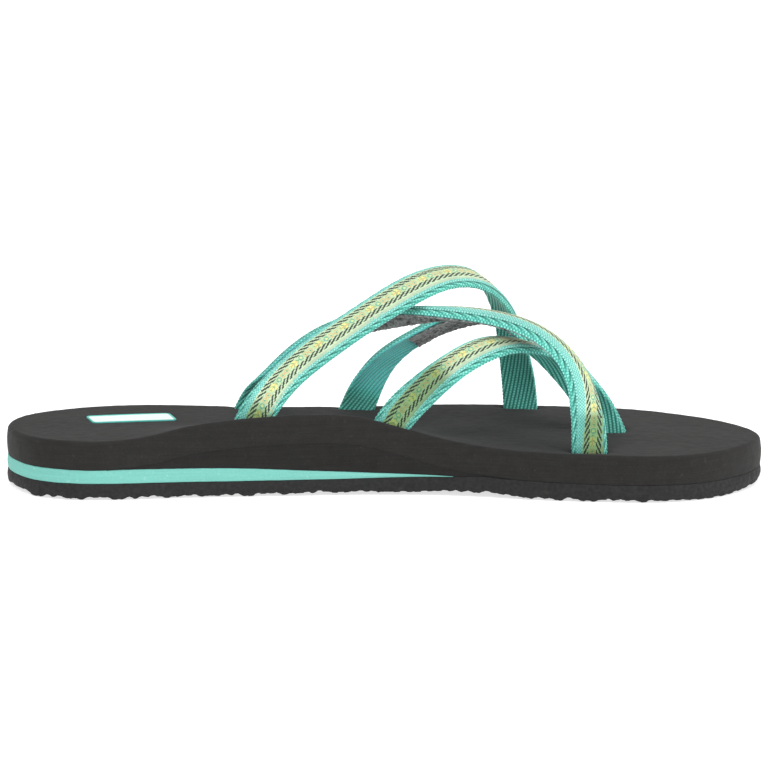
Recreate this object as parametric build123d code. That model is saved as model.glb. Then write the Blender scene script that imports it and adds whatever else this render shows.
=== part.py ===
from build123d import *

import math
import os

import numpy as np

# Strappy thong sandal for the left foot, in millimetres.
# +X runs from the heel to the toe, +Y to the outer side of the foot, and +Z up.
# The origin is under the middle of the sole's box, on the ground.

# Driving dimensions of the sole.
FOOTBED_THICKNESS = 9.7
WEDGE_TIP_X = 23.0          # where the turquoise wedge ends in a thin edge
FOREFOOT_X = 42.0           # from here to the toe the outsole reaches up to the footbed
GROOVE_DEPTH = 1.0
GROOVE_WIDTH = 2.0
GROOVE_PITCH = 7.0
GROOVE_WAVE = 1.4           # sideways swing of each groove
GROOVE_STEP = 18.0          # spacing across the sole of a groove's corners
TREAD_START = -121.0        # the first groove's place along X,
TREAD_LENGTH = 244.0        # and the distance from there that the grooves fill
HALF_SPAN = 60.0            # half width of every cutting block, past the sole's sides
BLOCK_END = 135.0           # half length of the cutting blocks, past the heel and the toe
BLOCK_FLOOR = -5.0          # their lower end, below the ground,
BLOCK_ROOF = 15.0           # and their upper end in the forefoot, above the lower layers
BLANK_HEIGHT = 40.0         # the sole's blank before its upper face is cut

# Driving dimensions of the straps.
WEBBING_WIDTH = 12.0
WEBBING_THICKNESS = 2.0
RIBBON_WIDTH = 9.6
RIBBON_THICKNESS = 0.35
LINING_WIDTH = 10.4
LINING_THICKNESS = 0.5
RIBBON_GAP = 0.10           # between the webbing and the ribbon sewn to it
LINING_GAP = 0.15           # between the webbing and the softer lining
TAIL_LENGTH = 14.0          # folded end glued under the footbed
SLOT_PLAY = 0.55            # room round the webbing in its slot
SLOT_DOWN = 1.4             # how far each slot's cut runs past the webbing's bend,
SLOT_UP = 7.0               # and above the footbed's surface
TRIM_BELOW = 2.0            # how far the ribbon goes down into its slot
SECTION_STEP = 4.0          # spacing of the loft sections along a strap

# The plan outline, from the back of the heel along the inner side to the toe, then back.
INNER_SIDE = [
    (-128, -10), (-124.5, -25), (-116, -37), (-100, -43), (-80, -41), (-50, -37), (-20, -34.8),
    (10, -34), (30, -37), (50, -42.5), (72, -46.3), (92, -46.8), (107, -41.5), (119, -30), (126, -17),
]
TOE_TIP = (128, -5)
OUTER_SIDE = [
    (125, 7), (117, 19), (106, 30), (94, 38.5), (78, 44.3), (58, 46.9), (36, 46.6), (14, 42.5),
    (-10, 35.5), (-35, 31), (-60, 29.5), (-82, 27.8), (-100, 23.3), (-114, 16), (-124.5, 4),
]

# The footbed's upper face: its height away from the arch, and how far the inner edge rises
# above that, each as points along X.
BASE_HEIGHT = [(-134, 20.0), (-86, 19.7), (-45, 18.7), (-6, 17.6), (36, 16.4), (70, 15.7),
               (134, 15.4)]
ARCH_RISE = [(-134, 0), (-110, 0), (-92, 0.1), (-80, 1.4), (-65, 5.0), (-45, 7.9), (-25, 9.3),
             (-8, 8.9), (8, 5.2), (20, 2.3), (34, 0.5), (48, 0), (90, 0), (134, 0)]
ARCH_REACH = 35.0           # the rise fades out this far in from the inner edge
GRID_STEP = (6.0, 5.0)      # spacing of the surface's points along X and Y

# Heights along X of the layers' joints: the outsole's upper face, and the wedge's.
OUTSOLE_TOP = [(-135, 5.6), (-96, 5.5), (-48, 5.2), (-15, 5.5), (2, 5.9), (12, 6.2),
               (WEDGE_TIP_X, 6.45), (FOREFOOT_X, 7.7)]
WEDGE_TOP = [(-135, 10.6), (-78, 10.1), (-48, 9.6), (-28, 8.65), (-6, 7.65), (WEDGE_TIP_X, 6.6)]

# Underside of the sole: a lift under the waist, and small bevels at the heel and the toe.
GROUND_LIFTS = [
    [(-46, 0), (-30, 0.4), (5, 0.7), (24, 1.3), (38, 0.8), (50, 0)],
]
HEEL_BEVEL = (-116.0, 1.2)
TOE_BEVEL = (110.0, 1.5)

# Straps, each from its inner end to its outer end. A station is x, y, z and the lean: the turn
# of the webbing about its own length, in degrees, from lying as nearly along X as it can.
# A tail is one folded end: how far it lies in X and Y from the slot in the footbed's face, its
# height, and the way it points along Y.
STRAPS = {
    "instep_strap": {
        "stations": [
            (-44, -31.5, 25, 0), (-32.5, -23, 39.5, -9), (-16.5, -16.5, 51, -15),
            (0, -9.5, 61, -5), (16.5, 0.5, 68, 18), (31.5, 14.5, 66, 45),
            (41, 28, 54, 46), (45.5, 37.5, 36.5, 28), (47.5, 41, 16, 2),
        ],
        "tails": [(-4.5, -0.5, 15.3, 1), (0.5, 0, 6.5, -1)],
    },
    "cross_strap": {
        "stations": [
            (68.5, -39, 16.5, 3), (67, -35, 37.5, 44), (55.5, -25.5, 52.5, 43),
            (38, -15, 58, 13), (19.5, -4, 58, 6), (0.5, 6, 55, 8),
            (-18.5, 14, 48, -18), (-34.5, 19.5, 35.5, -22), (-45.5, 27, 18.5, -2),
        ],
        "tails": [(0.5, 0, 6.6, 1), (-4, 0.6, 9.2, -1)],
        "lining": (36.0, 122.0),
    },
    "outer_strap": {
        "stations": [
            (76, 2, 15.5, 0), (67.5, 5.5, 30.5, 23), (55.5, 9.5, 42.5, 39),
            (42, 16, 50.5, 42), (25.5, 22, 51, -15), (10.5, 25.5, 44, -47),
            (-2.5, 27.5, 33, -33), (-9.5, 30.5, 17.5, -3),
        ],
        "tails": [(3.5, 0, 6.2, 1), (-4, 0.8, 8.0, -1)],
        "lining": (30.0, 88.0),
    },
    "inner_strap": {
        "stations": [
            (2, -30, 22.5, -3), (11.5, -29.5, 34, -22), (23, -27.5, 43.5, -25),
            (36, -22, 49, 6), (48.5, -14, 47.5, 29), (59.5, -7, 40, 25),
            (69, -3.5, 29, 15), (75.5, -1.5, 15.5, 0),
        ],
        "tails": [(-5, 0, 12.6, 1), (3.5, 0, 6.2, -1)],
    },
}

# The label on the heel of the footbed.
LABEL_SIZE = (29.4, 12.6)
LABEL_CORNER = 2.0
LABEL_PLAY = 0.1            # room round the label in its recess
LABEL_CENTRE = (-86.5, 0.5)
LABEL_TURN = 15.0
LABEL_BOTTOM, LABEL_TOP = 19.35, 20.05


def plan_prism(height):
    """The sole's outline, raised from the ground to a height."""
    edge = Spline(*INNER_SIDE, TOE_TIP, *OUTER_SIDE, periodic=True)
    return extrude(make_face(edge), height)


def side_block(profile):
    """A closed X-Z profile made as wide as the cutting blocks."""
    return extrude(Plane.XZ * profile, HALF_SPAN, both=True)


def along_x(points, x):
    """A height read from points along X, without overshoot."""
    xs, heights = zip(*points)
    i = min(max(int(np.searchsorted(xs, x)) - 1, 0), len(xs) - 2)
    t = (x - xs[i]) / (xs[i + 1] - xs[i])
    slopes = np.gradient(heights, xs)
    flat = [h == 0 for h in heights]
    left, right = (0 if flat[j] else slopes[j] * (xs[i + 1] - xs[i]) for j in (i, i + 1))
    return ((1 + 2 * t) * (1 - t) ** 2 * heights[i] + t * (1 - t) ** 2 * left
            + t * t * (3 - 2 * t) * heights[i + 1] + t * t * (t - 1) * right)


def top_height(x, y):
    """Height of the footbed's upper face."""
    inner_xs, inner_ys = zip(*INNER_SIDE)
    depth = max(0.0, y - float(np.interp(x, inner_xs, inner_ys)))
    share = 0.5 + 0.5 * math.cos(math.pi * min(1.0, depth / ARCH_REACH) ** 0.85)
    return along_x(BASE_HEIGHT, x) + along_x(ARCH_RISE, x) * share


def below_top(drop):
    """Everything below the footbed's upper face, lowered by drop."""
    xs = np.arange(-134, 135, GRID_STEP[0])
    ys = np.arange(-55, 56, GRID_STEP[1])
    grid = [[(float(x), float(y), top_height(x, y) - drop) for y in ys] for x in xs]
    return extrude(Face.make_surface_from_array_of_points(grid), 45, dir=(0, 0, -1))


def below_outsole_top():
    """The outsole's room: thin under the heel and waist, and up to the footbed in the forefoot."""
    outline = Polyline(*OUTSOLE_TOP, (FOREFOOT_X, BLOCK_ROOF), (BLOCK_END, BLOCK_ROOF),
                       (BLOCK_END, BLOCK_FLOOR), (-BLOCK_END, BLOCK_FLOOR), close=True)
    return side_block(make_face(outline))


def below_wedge_top():
    """Everything below the turquoise wedge's upper face."""
    outline = Polyline(WEDGE_TOP[-1], (WEDGE_TIP_X, BLOCK_FLOOR), (-BLOCK_END, BLOCK_FLOOR),
                       WEDGE_TOP[0])
    return side_block(make_face(Curve() + [Spline(*WEDGE_TOP), outline]))


def ground_cutters():
    """What the underside leaves clear of the ground."""
    cutters = []
    for lift in GROUND_LIFTS:
        curve = Spline(*lift)
        outline = Polyline(lift[-1], (lift[-1][0], BLOCK_FLOOR), (lift[0][0], BLOCK_FLOOR), lift[0])
        cutters.append(side_block(make_face(Curve() + [curve, outline])))
    for (x, rise), end in ((HEEL_BEVEL, -131), (TOE_BEVEL, 131)):
        bevel = Polyline((x, 0), (end, rise), (end, BLOCK_FLOOR), (x, BLOCK_FLOOR), close=True)
        cutters.append(side_block(make_face(bevel)))
    return cutters


def wavy_groove(x):
    """One cross groove of the tread, cut from the ground up."""
    steps = range(-3, 4)
    swing = [x + GROOVE_WAVE * math.cos(math.pi * i) + 0.4 * math.sin(0.7 * i + x) for i in steps]
    left = [(s - GROOVE_WIDTH / 2, i * GROOVE_STEP) for s, i in zip(swing, steps)]
    right = [(s + GROOVE_WIDTH / 2, i * GROOVE_STEP) for s, i in zip(swing, steps)]
    groove = make_face(Polyline(*left, *reversed(right), close=True))
    return Pos(0, 0, -3) * extrude(groove, GROOVE_DEPTH + 3)


def cubic_through(knots, values):
    """A natural cubic spline: returns a function of the knot value and of the derivative's order."""
    n = len(knots)
    h = np.diff(knots)
    system = np.eye(n)
    right = np.zeros((n, values.shape[1]))
    for i in range(1, n - 1):
        system[i, i - 1:i + 2] = h[i - 1], 2 * (h[i - 1] + h[i]), h[i]
        right[i] = 6 * ((values[i + 1] - values[i]) / h[i] - (values[i] - values[i - 1]) / h[i - 1])
    bend = np.linalg.solve(system, right)

    def at(s, order=0):
        i = int(np.clip(np.searchsorted(knots, s) - 1, 0, n - 2))
        a, b = knots[i + 1] - s, s - knots[i]
        rise = (values[i + 1] / h[i] - bend[i + 1] * h[i] / 6)
        fall = (values[i] / h[i] - bend[i] * h[i] / 6)
        if order == 0:
            return (bend[i] * a ** 3 + bend[i + 1] * b ** 3) / (6 * h[i]) + fall * a + rise * b
        return (bend[i + 1] * b ** 2 - bend[i] * a ** 2) / (2 * h[i]) + rise - fall

    return at


class StrapPath:
    """The middle line of a strap, with the webbing's width and outward directions along it."""

    def __init__(self, strap):
        stations = [list(row) for row in strap["stations"]]
        ends = [(stations[0], strap["tails"][0]), (stations[-1], strap["tails"][1])]
        first, last = ([slot[0] + tail[0], slot[1] + tail[1], tail[2], 0] for slot, tail in ends)
        rows = np.array([first, *stations, last], float)
        steps = np.linalg.norm(np.diff(rows[:, :3], axis=0), axis=1)
        self.knots = np.concatenate([[0], np.cumsum(steps)])
        self.at = cubic_through(self.knots, rows)
        self.surface = (self.knots[1], self.knots[-2])
        self.grid = np.linspace(0, self.knots[-1], round(self.knots[-1] / SECTION_STEP) + 1)

    def snap(self, s):
        """The nearest place on the shared grid of sections."""
        return float(self.grid[np.argmin(np.abs(self.grid - s))])

    def frame(self, s):
        """Centre, direction, width direction and outward direction at a distance along."""
        row = self.at(s)
        along = self.at(s, 1)[:3]
        along = along / np.linalg.norm(along)
        across = np.array([1.0, 0, 0]) - along[0] * along
        across = across / np.linalg.norm(across)
        lean = math.radians(row[3])
        across = across * math.cos(lean) + np.cross(along, across) * math.sin(lean)
        return row[:3], along, across, np.cross(across, along)


def band(path, start, end, width, thickness, offset=0.0):
    """A flat band along a strap's path, offset outwards from the webbing's middle."""
    inner = [s for s in path.grid if start + 0.6 * SECTION_STEP < s < end - 0.6 * SECTION_STEP]
    sections = []
    for s in [start, *inner, end]:
        centre, along, across, outward = path.frame(s)
        plane = Plane(origin=tuple(centre + outward * offset), x_dir=tuple(across), z_dir=tuple(along))
        sections.append(plane * Rectangle(width, thickness))
    return loft(sections, ruled=True)


def strap_webbing(path, strap):
    """The whole webbing with both folded ends."""
    half = WEBBING_THICKNESS / 2
    start, end = path.knots[0] - half, path.knots[-1] + half
    body = band(path, start, end, WEBBING_WIDTH, WEBBING_THICKNESS)
    for which in (0, 1):
        body += strap_tail(path, strap, which)
    return body


def strap_tail(path, strap, which, play=0.0):
    """One folded end, or with play the pocket for it."""
    height, inward = strap["tails"][which][2:]
    x, y = path.at(path.knots[0 if which == 0 else -1])[:2]
    length = TAIL_LENGTH + play
    middle_y = y + inward * (length - WEBBING_THICKNESS) / 2
    size = (WEBBING_WIDTH + 2 * play, length + play, WEBBING_THICKNESS + play)
    return Pos(x, middle_y, height) * Box(*size)


def slot_cutters(path, strap):
    """The two slots and two pockets that a strap needs in the sole."""
    width = WEBBING_WIDTH + 2 * SLOT_PLAY
    thickness = WEBBING_THICKNESS + 2 * (RIBBON_THICKNESS + SLOT_PLAY)
    low, high = path.surface
    cutters = [
        band(path, path.knots[0] - SLOT_DOWN, low + SLOT_UP, width, thickness),
        band(path, high - SLOT_UP, path.knots[-1] + SLOT_DOWN, width, thickness),
    ]
    for which in (0, 1):
        cutters.append(strap_tail(path, strap, which, SLOT_PLAY))
    return cutters


def label_plate(play=0.0):
    """The heel label, or with play the recess that it sits in."""
    sheet = RectangleRounded(LABEL_SIZE[0] + 2 * play, LABEL_SIZE[1] + 2 * play, LABEL_CORNER + play)
    place = Pos(*LABEL_CENTRE, LABEL_BOTTOM) * Rot(0, 0, LABEL_TURN)
    return place * extrude(sheet, LABEL_TOP - LABEL_BOTTOM)


def largest(layer):
    """The layer itself, without any crumb that a pocket cuts loose."""
    return max(layer.solids(), key=lambda solid: solid.volume)


def make_sole(cutters):
    """The footbed, insert, wedge and outsole, each cut for the straps' slots and pockets."""
    blank = plan_prism(BLANK_HEIGHT)
    for cutter in ground_cutters():
        blank -= cutter
    under_bed = below_top(FOOTBED_THICKNESS)
    footbed = (blank & below_top(0)) - under_bed
    lower = blank & under_bed
    outsole = lower & below_outsole_top()
    middle = lower - below_outsole_top()
    wedge = middle & below_wedge_top()
    insert = middle - below_wedge_top()
    count = int(TREAD_LENGTH / GROOVE_PITCH)
    grooves = [wavy_groove(TREAD_START + i * GROOVE_PITCH) for i in range(count + 1)]
    layers = {
        "footbed": footbed - label_plate(LABEL_PLAY),
        "arch_insert": insert,
        "heel_wedge": wedge,
        "outsole": outsole - grooves,
    }
    return {name: largest(layer - cutters) for name, layer in layers.items()}


def make_straps():
    """Every strap's pieces, and the cutters that the sole needs for them."""
    pieces, cutters = {}, []
    for name, strap in STRAPS.items():
        path = StrapPath(strap)
        low, high = path.surface
        pieces[name + "_webbing"] = strap_webbing(path, strap)
        half = WEBBING_THICKNESS / 2
        start, end = path.snap(low - TRIM_BELOW), path.snap(high + TRIM_BELOW)
        offset = half + RIBBON_GAP + RIBBON_THICKNESS / 2
        pieces[name + "_ribbon"] = band(path, start, end, RIBBON_WIDTH, RIBBON_THICKNESS, offset)
        if "lining" in strap:
            start, end = (path.snap(low + distance) for distance in strap["lining"])
            offset = -half - LINING_GAP - LINING_THICKNESS / 2
            pieces[name + "_lining"] = band(path, start, end, LINING_WIDTH, LINING_THICKNESS, offset)
        cutters += slot_cutters(path, strap)
        print(name, "length above the footbed", round(float(high - low), 1), "mm")
    return pieces, cutters


def main():
    straps, cutters = make_straps()
    pieces = {**make_sole(cutters), "heel_label": label_plate(), **straps}
    os.makedirs("parts", exist_ok=True)
    for name, piece in pieces.items():
        export_step(piece, f"parts/{name}.step")


main()
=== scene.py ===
import math

import bmesh
import bpy
import numpy as np
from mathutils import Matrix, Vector, noise


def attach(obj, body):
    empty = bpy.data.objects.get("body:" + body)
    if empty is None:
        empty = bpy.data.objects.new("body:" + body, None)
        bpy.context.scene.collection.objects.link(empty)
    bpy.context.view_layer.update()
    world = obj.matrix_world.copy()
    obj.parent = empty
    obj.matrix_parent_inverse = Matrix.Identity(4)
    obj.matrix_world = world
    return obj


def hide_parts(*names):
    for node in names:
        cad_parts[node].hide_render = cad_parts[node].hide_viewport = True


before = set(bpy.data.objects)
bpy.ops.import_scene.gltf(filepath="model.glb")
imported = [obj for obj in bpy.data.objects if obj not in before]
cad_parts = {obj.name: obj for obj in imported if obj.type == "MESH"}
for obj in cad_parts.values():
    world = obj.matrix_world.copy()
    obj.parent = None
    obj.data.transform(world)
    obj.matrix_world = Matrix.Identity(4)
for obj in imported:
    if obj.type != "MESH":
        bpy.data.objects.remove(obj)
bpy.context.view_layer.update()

# Strappy thong sandal for the left foot, in the CAD frame: +X to the toe, +Y to the outer side
# of the foot, +Z up. The object is in millimetres until make_piece() turns it into metres; the
# floor and the camera are in metres.
MM = 0.001

# The sole's plan outline, from the back of the heel along the inner side to the toe, then back.
INNER_SIDE = [
    (-128, -10), (-124.5, -25), (-116, -37), (-100, -43), (-80, -41), (-50, -37), (-20, -34.8),
    (10, -34), (30, -37), (50, -42.5), (72, -46.3), (92, -46.8), (107, -41.5), (119, -30), (126, -17),
]
TOE_TIP = (128, -5)
OUTER_SIDE = [
    (125, 7), (117, 19), (106, 30), (94, 38.5), (78, 44.3), (58, 46.9), (36, 46.6), (14, 42.5),
    (-10, 35.5), (-35, 31), (-60, 29.5), (-82, 27.8), (-100, 23.3), (-114, 16), (-124.5, 4),
]

# Heights along X: the footbed's face, its rise at the arch, and the layers under it.
BASE_HEIGHT = [(-134, 20.0), (-86, 19.7), (-45, 18.7), (-6, 17.6), (36, 16.4), (70, 15.7),
               (134, 15.4)]
ARCH_RISE = [(-134, 0), (-110, 0), (-92, 0.1), (-80, 1.4), (-65, 5.0), (-45, 7.9), (-25, 9.3),
             (-8, 8.9), (8, 5.2), (20, 2.3), (34, 0.5), (48, 0), (90, 0), (134, 0)]
ARCH_REACH = 35.0           # the rise fades out this far in from the inner edge
FOOTBED_THICKNESS = 9.7
WEDGE_TOP = [(-134, 10.6), (-78, 10.1), (-48, 9.6), (-28, 8.65), (-6, 7.65), (23, 6.6)]
WEDGE_TIP_X = 23.0
INSERT_RANGE = (-93.0, 42.0)    # where the arch insert starts and ends along X
OUTSOLE_TOP = [(-134, 5.6), (-96, 5.5), (-48, 5.2), (-15, 5.5), (2, 5.9), (12, 6.2), (23, 6.45),
               (42, 7.7), (42.5, 15)]
GROUND_LIFT = [(-131, 1.2), (-116, 0), (-46, 0), (-30, 0.4), (5, 0.7), (24, 1.3), (38, 0.8), (50, 0),
               (110, 0), (131, 1.5)]

# The footbed's wear: a dip round each slot, and gentle waves.
DIP_HALF = 5.5
DIP_REACH = 2.6
DIP_DEPTH = 0.5
WAVE_HEIGHT = 0.10

WHOLE_SOLE = (-140, 140)    # a range along X that reaches past both ends
# For each layer of the sole's full width: its sections along X, the rounding of its upper and
# lower edge, the bulge of its wall, and the rows across its upper and lower face.
LAYERS = {
    "footbed": (430, (1.6, 0.2), 0.30, (84, 30)),
    "heel_wedge": (260, (0.35, 0.35), 0.2, (40, 30)),
    "outsole": (560, (0.4, 0.45), 0.25, (30, 88)),
}
# How far each moulded layer's points stray, and over what distance.
ROUGH = {"footbed": (0.07, 3.0), "arch_insert": (0.04, 3.0), "heel_wedge": (0.05, 3.0),
         "outsole": (0.04, 2.0)}
WALL_ROWS = 7               # rows of points on each wall, between its rounded edges
SHARP_ANGLE = 40.0          # edges that turn more than this stay sharp
SQUARE = ((1, 1), (-1, 1), (-1, -1), (1, -1))

# Tread: wavy cross grooves, with a shallow cut half way between them.
GROOVE_START_X = -121.0
GROOVE_PITCH = 7.0
GROOVE_DEPTH = 1.0
GROOVE_WIDTH = 2.0
SIPE_DEPTH = 0.55
SIPE_WIDTH = 0.9
WAVE_SWING = 1.4
WAVE_LENGTH = 36.0
SCALLOP_DEPTH = 0.95        # the ragged lower edge,
SCALLOP_REACH = 4.0         # this far in from the sides,
SCALLOP_TOE_X = 112.0       # up to here,
SCALLOP_GAP = (12.0, 12.0)  # and nearly smooth about this place, over this half length

# Straps.
WEBBING_WIDTH = 12.0
WEBBING_THICKNESS = 2.0
RIBBON_WIDTH = 9.6
RIBBON_THICKNESS = 0.35
RIBBON_GAP = 0.10
LINING_WIDTH = 10.4
LINING_THICKNESS = 0.5
LINING_GAP = 0.15
LINING_FUZZ = 0.20          # how far its fibres stand out
TAIL_LENGTH = 14.0
FOLD_RADIUS = 1.3
SLOT_PLAY = 0.3             # room round the webbing in its slot
SLOT_DOWN = 1.2             # how far each slot's cut runs past the webbing's bend,
SLOT_UP = 7.0               # and above the footbed's surface
SLOT_CORNER = 0.7
TRIM_BELOW = 2.0
CROWN_FADE = 16.0

# Each strap from its inner end to its outer end: x, y, z and lean, the webbing's turn about its
# own length in degrees. A tail is one folded end: how far it lies in X and Y from the slot, its
# height, and the way it points along Y. Crown is how far the edges curl in, away from the slots.
# Pattern is how far the ribbon's pattern sits off the middle towards the toe, at shares of the
# strap's length.
STRAPS = {
    "instep_strap": {
        "crown": 0.9,
        "pattern": [(0, 0.6), (0.18, -0.5), (1, -0.5)],
        "stations": [
            (-44, -31.5, 25, 0), (-32.5, -23, 39.5, -9), (-16.5, -16.5, 51, -15),
            (0, -9.5, 61, -5), (16.5, 0.5, 68, 18), (31.5, 14.5, 66, 45),
            (41, 28, 54, 46), (45.5, 37.5, 36.5, 28), (47.5, 41, 16, 2),
        ],
        "tails": [(-4.5, -0.5, 15.3, 1), (0.5, 0, 6.5, -1)],
    },
    "cross_strap": {
        "crown": 2.3,
        "pattern": [(0, 0.9), (0.12, 1.5), (0.5, 1.5), (1, 0.6)],
        "stations": [
            (68.5, -39, 16.5, 3), (67, -35, 37.5, 44), (55.5, -25.5, 52.5, 43),
            (38, -15, 58, 13), (19.5, -4, 58, 6), (0.5, 6, 55, 8),
            (-18.5, 14, 48, -18), (-34.5, 19.5, 35.5, -22), (-45.5, 27, 18.5, -2),
        ],
        "tails": [(0.5, 0, 6.6, 1), (-4, 0.6, 9.2, -1)],
        "lining": (36.0, 122.0),
    },
    "outer_strap": {
        "crown": 1.1,
        "pattern": [(0, 0.3), (1, 0.3)],
        "stations": [
            (76, 2, 15.5, 0), (67.5, 5.5, 30.5, 23), (55.5, 9.5, 42.5, 39),
            (42, 16, 50.5, 42), (25.5, 22, 51, -15), (10.5, 25.5, 44, -47),
            (-2.5, 27.5, 33, -33), (-9.5, 30.5, 17.5, -3),
        ],
        "tails": [(3.5, 0, 6.2, 1), (-4, 0.8, 8.0, -1)],
        "lining": (30.0, 88.0),
    },
    "inner_strap": {
        "crown": 1.3,
        "pattern": [(0, 0.2), (0.2, -0.4), (1, -0.4)],
        "stations": [
            (2, -30, 22.5, -3), (11.5, -29.5, 34, -22), (23, -27.5, 43.5, -25),
            (36, -22, 49, 6), (48.5, -14, 47.5, 29), (59.5, -7, 40, 25),
            (69, -3.5, 29, 15), (75.5, -1.5, 15.5, 0),
        ],
        "tails": [(-5, 0, 12.6, 1), (3.5, 0, 6.2, -1)],
    },
}

# The weave of the webbing.
WEBBING_STEP = 0.30         # spacing of the mesh along the webbing
EDGE_WIDTH = 0.75           # the selvedge on each side
RIB_PITCH = 1.25            # slanted ribs across the face
RIB_SLANT = math.radians(16)
PICK_PITCH = 0.95           # cross threads along each rib
WEAVE_RELIEF = 0.30
SELVEDGE_PITCH = 1.3
SELVEDGE_RELIEF = 0.24
WANDER = 0.12               # how far its edges stray from straight
GROOVE_PAINTED_SHADE = 0.40         # its painted shade between the threads,
THREAD_PAINTED_LIGHT = 1.30          # and how much lighter the threads' tops are painted
PLAIN_GLOW = 0.87           # its brightness elsewhere, and the painted light to add
LIT_PAINTED_LIGHT = 0.28             # on edges that face the lit side,
INNER_PAINTED_LIGHT = 1.93           # on inner faces turned to the toe,
OUTER_GAIN = -0.09          # and on the outer face
PAINTED_HIGHLIGHT = 0.30                # the white of a painted highlight on the threads' tops,
LIT_PAINTED_HIGHLIGHT = 0.16            # with more on edges that face the lit side
BRIGHTEST = 0.92

# The woven ribbon: threads, and distances of its pattern's parts from the pattern's middle.
RIBBON_STEP = 0.135
THREAD_ALONG = 0.27
THREAD_ACROSS = 0.24
THREAD_RELIEF = 0.05
MOTIF_LENGTH = 10.8
LEAF_HALF = 2.1             # half of the leaf's length
RING_PLACES = (5.3, 7.35, 9.4)
DASH_PITCH = 2.35
DASH_INNER = 1.3
DASH_OUTER = 3.0
DASH_SLANT = 2.0
PIPING_HALF = 3.35          # a thin pale line borders the dashes
STIPPLE_HALF = 4.3          # and a dotted strip lies beyond it on the toe side
LIT_SIDE = (0.5, 0, 0.87)   # the threads are glossy, and painted pale, a painted sheen, where they face this way
# Painted shade: the share of each colour that is left where they don't face it, in the borders and in
# the pattern.
BORDER_PAINTED_SHADE = (0.45, 0.62, 0.60)
PATTERN_PAINTED_SHADE = (0.34, 0.46, 0.33)

# Stitches: their length and spacing, and how far in from the ribbon's edge they run.
STITCH_LENGTH = 1.9
STITCH_PITCH = 2.5
STITCH_INSET = 0.75
STITCH_RADIUS = 0.13
STITCH_SIDES = 6

LABEL_SIZE = (29.4, 12.6)
LABEL_CENTRE = (-86.5, 0.5)
LABEL_TURN = math.radians(15)
LABEL_CORNER = 2.0
LABEL_BOTTOM = 19.35
LABEL_LIFT = 0.02           # between its underside and its bed
LABEL_PROUD = 0.38          # how far its rim stands above the footbed
# Its rings: how far in from the outline, and how high between its bed and the rim's top.
LABEL_UNDER = [(5.6, 0), (3.0, 0), (0.3, 0), (0.05, 0)]
LABEL_FACE = [(0.0, 0.1), (0.0, 0.75), (0.06, 0.93), (0.2, 1.0), (0.5, 1.0), (0.6, 0.9), (0.68, 0.75),
              (0.76, 0.7), (2.2, 0.7), (3.2, 0.7), (4.0, 0.7), (4.8, 0.7), (5.6, 0.7)]
LABEL_RIM = slice(4, 11)    # the rings that carry the border's colour


def srgb(red, green, blue):
    """An sRGB colour, 0 to 255, as linear values."""
    share = np.array([red, green, blue]) / 255
    return np.where(share <= 0.04045, share / 12.92, ((share + 0.055) / 1.055) ** 2.4)


TURQUOISE = srgb(70, 186, 168)
SATIN = srgb(118, 203, 188)
BORDER_LIGHT = srgb(170, 234, 224)
BORDER_DARK = srgb(86, 186, 172)
MINT_FOAM = srgb(118, 188, 177)
FOAM = srgb(37, 36, 35)
RUBBER = srgb(30, 30, 30)
GREY_LINING = srgb(160, 161, 160)
PIPING = srgb(204, 226, 186)
PALE_GREEN = srgb(196, 222, 176)
YELLOW = srgb(234, 234, 150)
DARK_GREEN = srgb(24, 50, 38)
MID_GREEN = srgb(108, 166, 124)
PEACH = srgb(216, 188, 132)
STONE = srgb(186, 208, 178)
LABEL_PALE = srgb(242, 255, 250)
LABEL_TURQUOISE = srgb(88, 196, 184)
FOAM_DUST = srgb(120, 118, 116)
MIDSOLE_DUST = srgb(110, 108, 106)
WEDGE_DUST = srgb(190, 225, 215)
SCUFF_GREY = srgb(96, 94, 92)


# ---- Small maths ----

def smooth_step(x):
    """From 0 to 1 as x does, with a soft start and end."""
    x = np.clip(x, 0, 1)
    return x * x * (3 - 2 * x)


def along_x(points, x):
    """A height read from points along X, without overshoot."""
    xs, heights = np.array(points, float).T
    i = np.clip(np.searchsorted(xs, x) - 1, 0, len(xs) - 2)
    span = xs[i + 1] - xs[i]
    t = np.clip((x - xs[i]) / span, 0, 1)
    slopes = np.where(heights == 0, 0, np.gradient(heights, xs))
    return ((1 + 2 * t) * (1 - t) ** 2 * heights[i] + t * (1 - t) ** 2 * slopes[i] * span
            + t * t * (3 - 2 * t) * heights[i + 1] + t * t * (t - 1) * slopes[i + 1] * span)


def read(points, x):
    """A value read from points, straight between them."""
    return np.interp(x, *np.array(points, float).T)


def cubic_through(knots, values):
    """A natural cubic spline as a function of an array of knot values."""
    n = len(knots)
    h = np.diff(knots)
    system = np.eye(n)
    right = np.zeros((n, values.shape[1]))
    for i in range(1, n - 1):
        system[i, i - 1:i + 2] = h[i - 1], 2 * (h[i - 1] + h[i]), h[i]
        right[i] = 6 * ((values[i + 1] - values[i]) / h[i] - (values[i] - values[i - 1]) / h[i - 1])
    bend = np.linalg.solve(system, right)

    def at(s, order=0):
        i = np.clip(np.searchsorted(knots, s) - 1, 0, n - 2)
        a, b = (knots[i + 1] - s)[:, None], (s - knots[i])[:, None]
        width = h[i][:, None]
        rise = values[i + 1] / width - bend[i + 1] * width / 6
        fall = values[i] / width - bend[i] * width / 6
        if order == 0:
            cubic = (bend[i] * a ** 3 + bend[i + 1] * b ** 3) / (6 * width)
            return cubic + fall * a + rise * b
        return (bend[i + 1] * b ** 2 - bend[i] * a ** 2) / (2 * width) + rise - fall

    return at


def unit(vectors):
    """The same directions with length 1."""
    return vectors / np.linalg.norm(vectors, axis=1)[:, None]


def chord_lengths(points):
    """Distance along a row of points."""
    return np.concatenate([[0], np.cumsum(np.linalg.norm(np.diff(points, axis=0), axis=1))])


def noise_at(points, grain):
    """Smooth noise, about -1 to 1, with features of the given size."""
    flat = (points.reshape(-1, 3) / grain).tolist()
    return np.array([noise.noise(p) for p in flat]).reshape(points.shape[:-1])


# ---- Meshes ----

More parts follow.
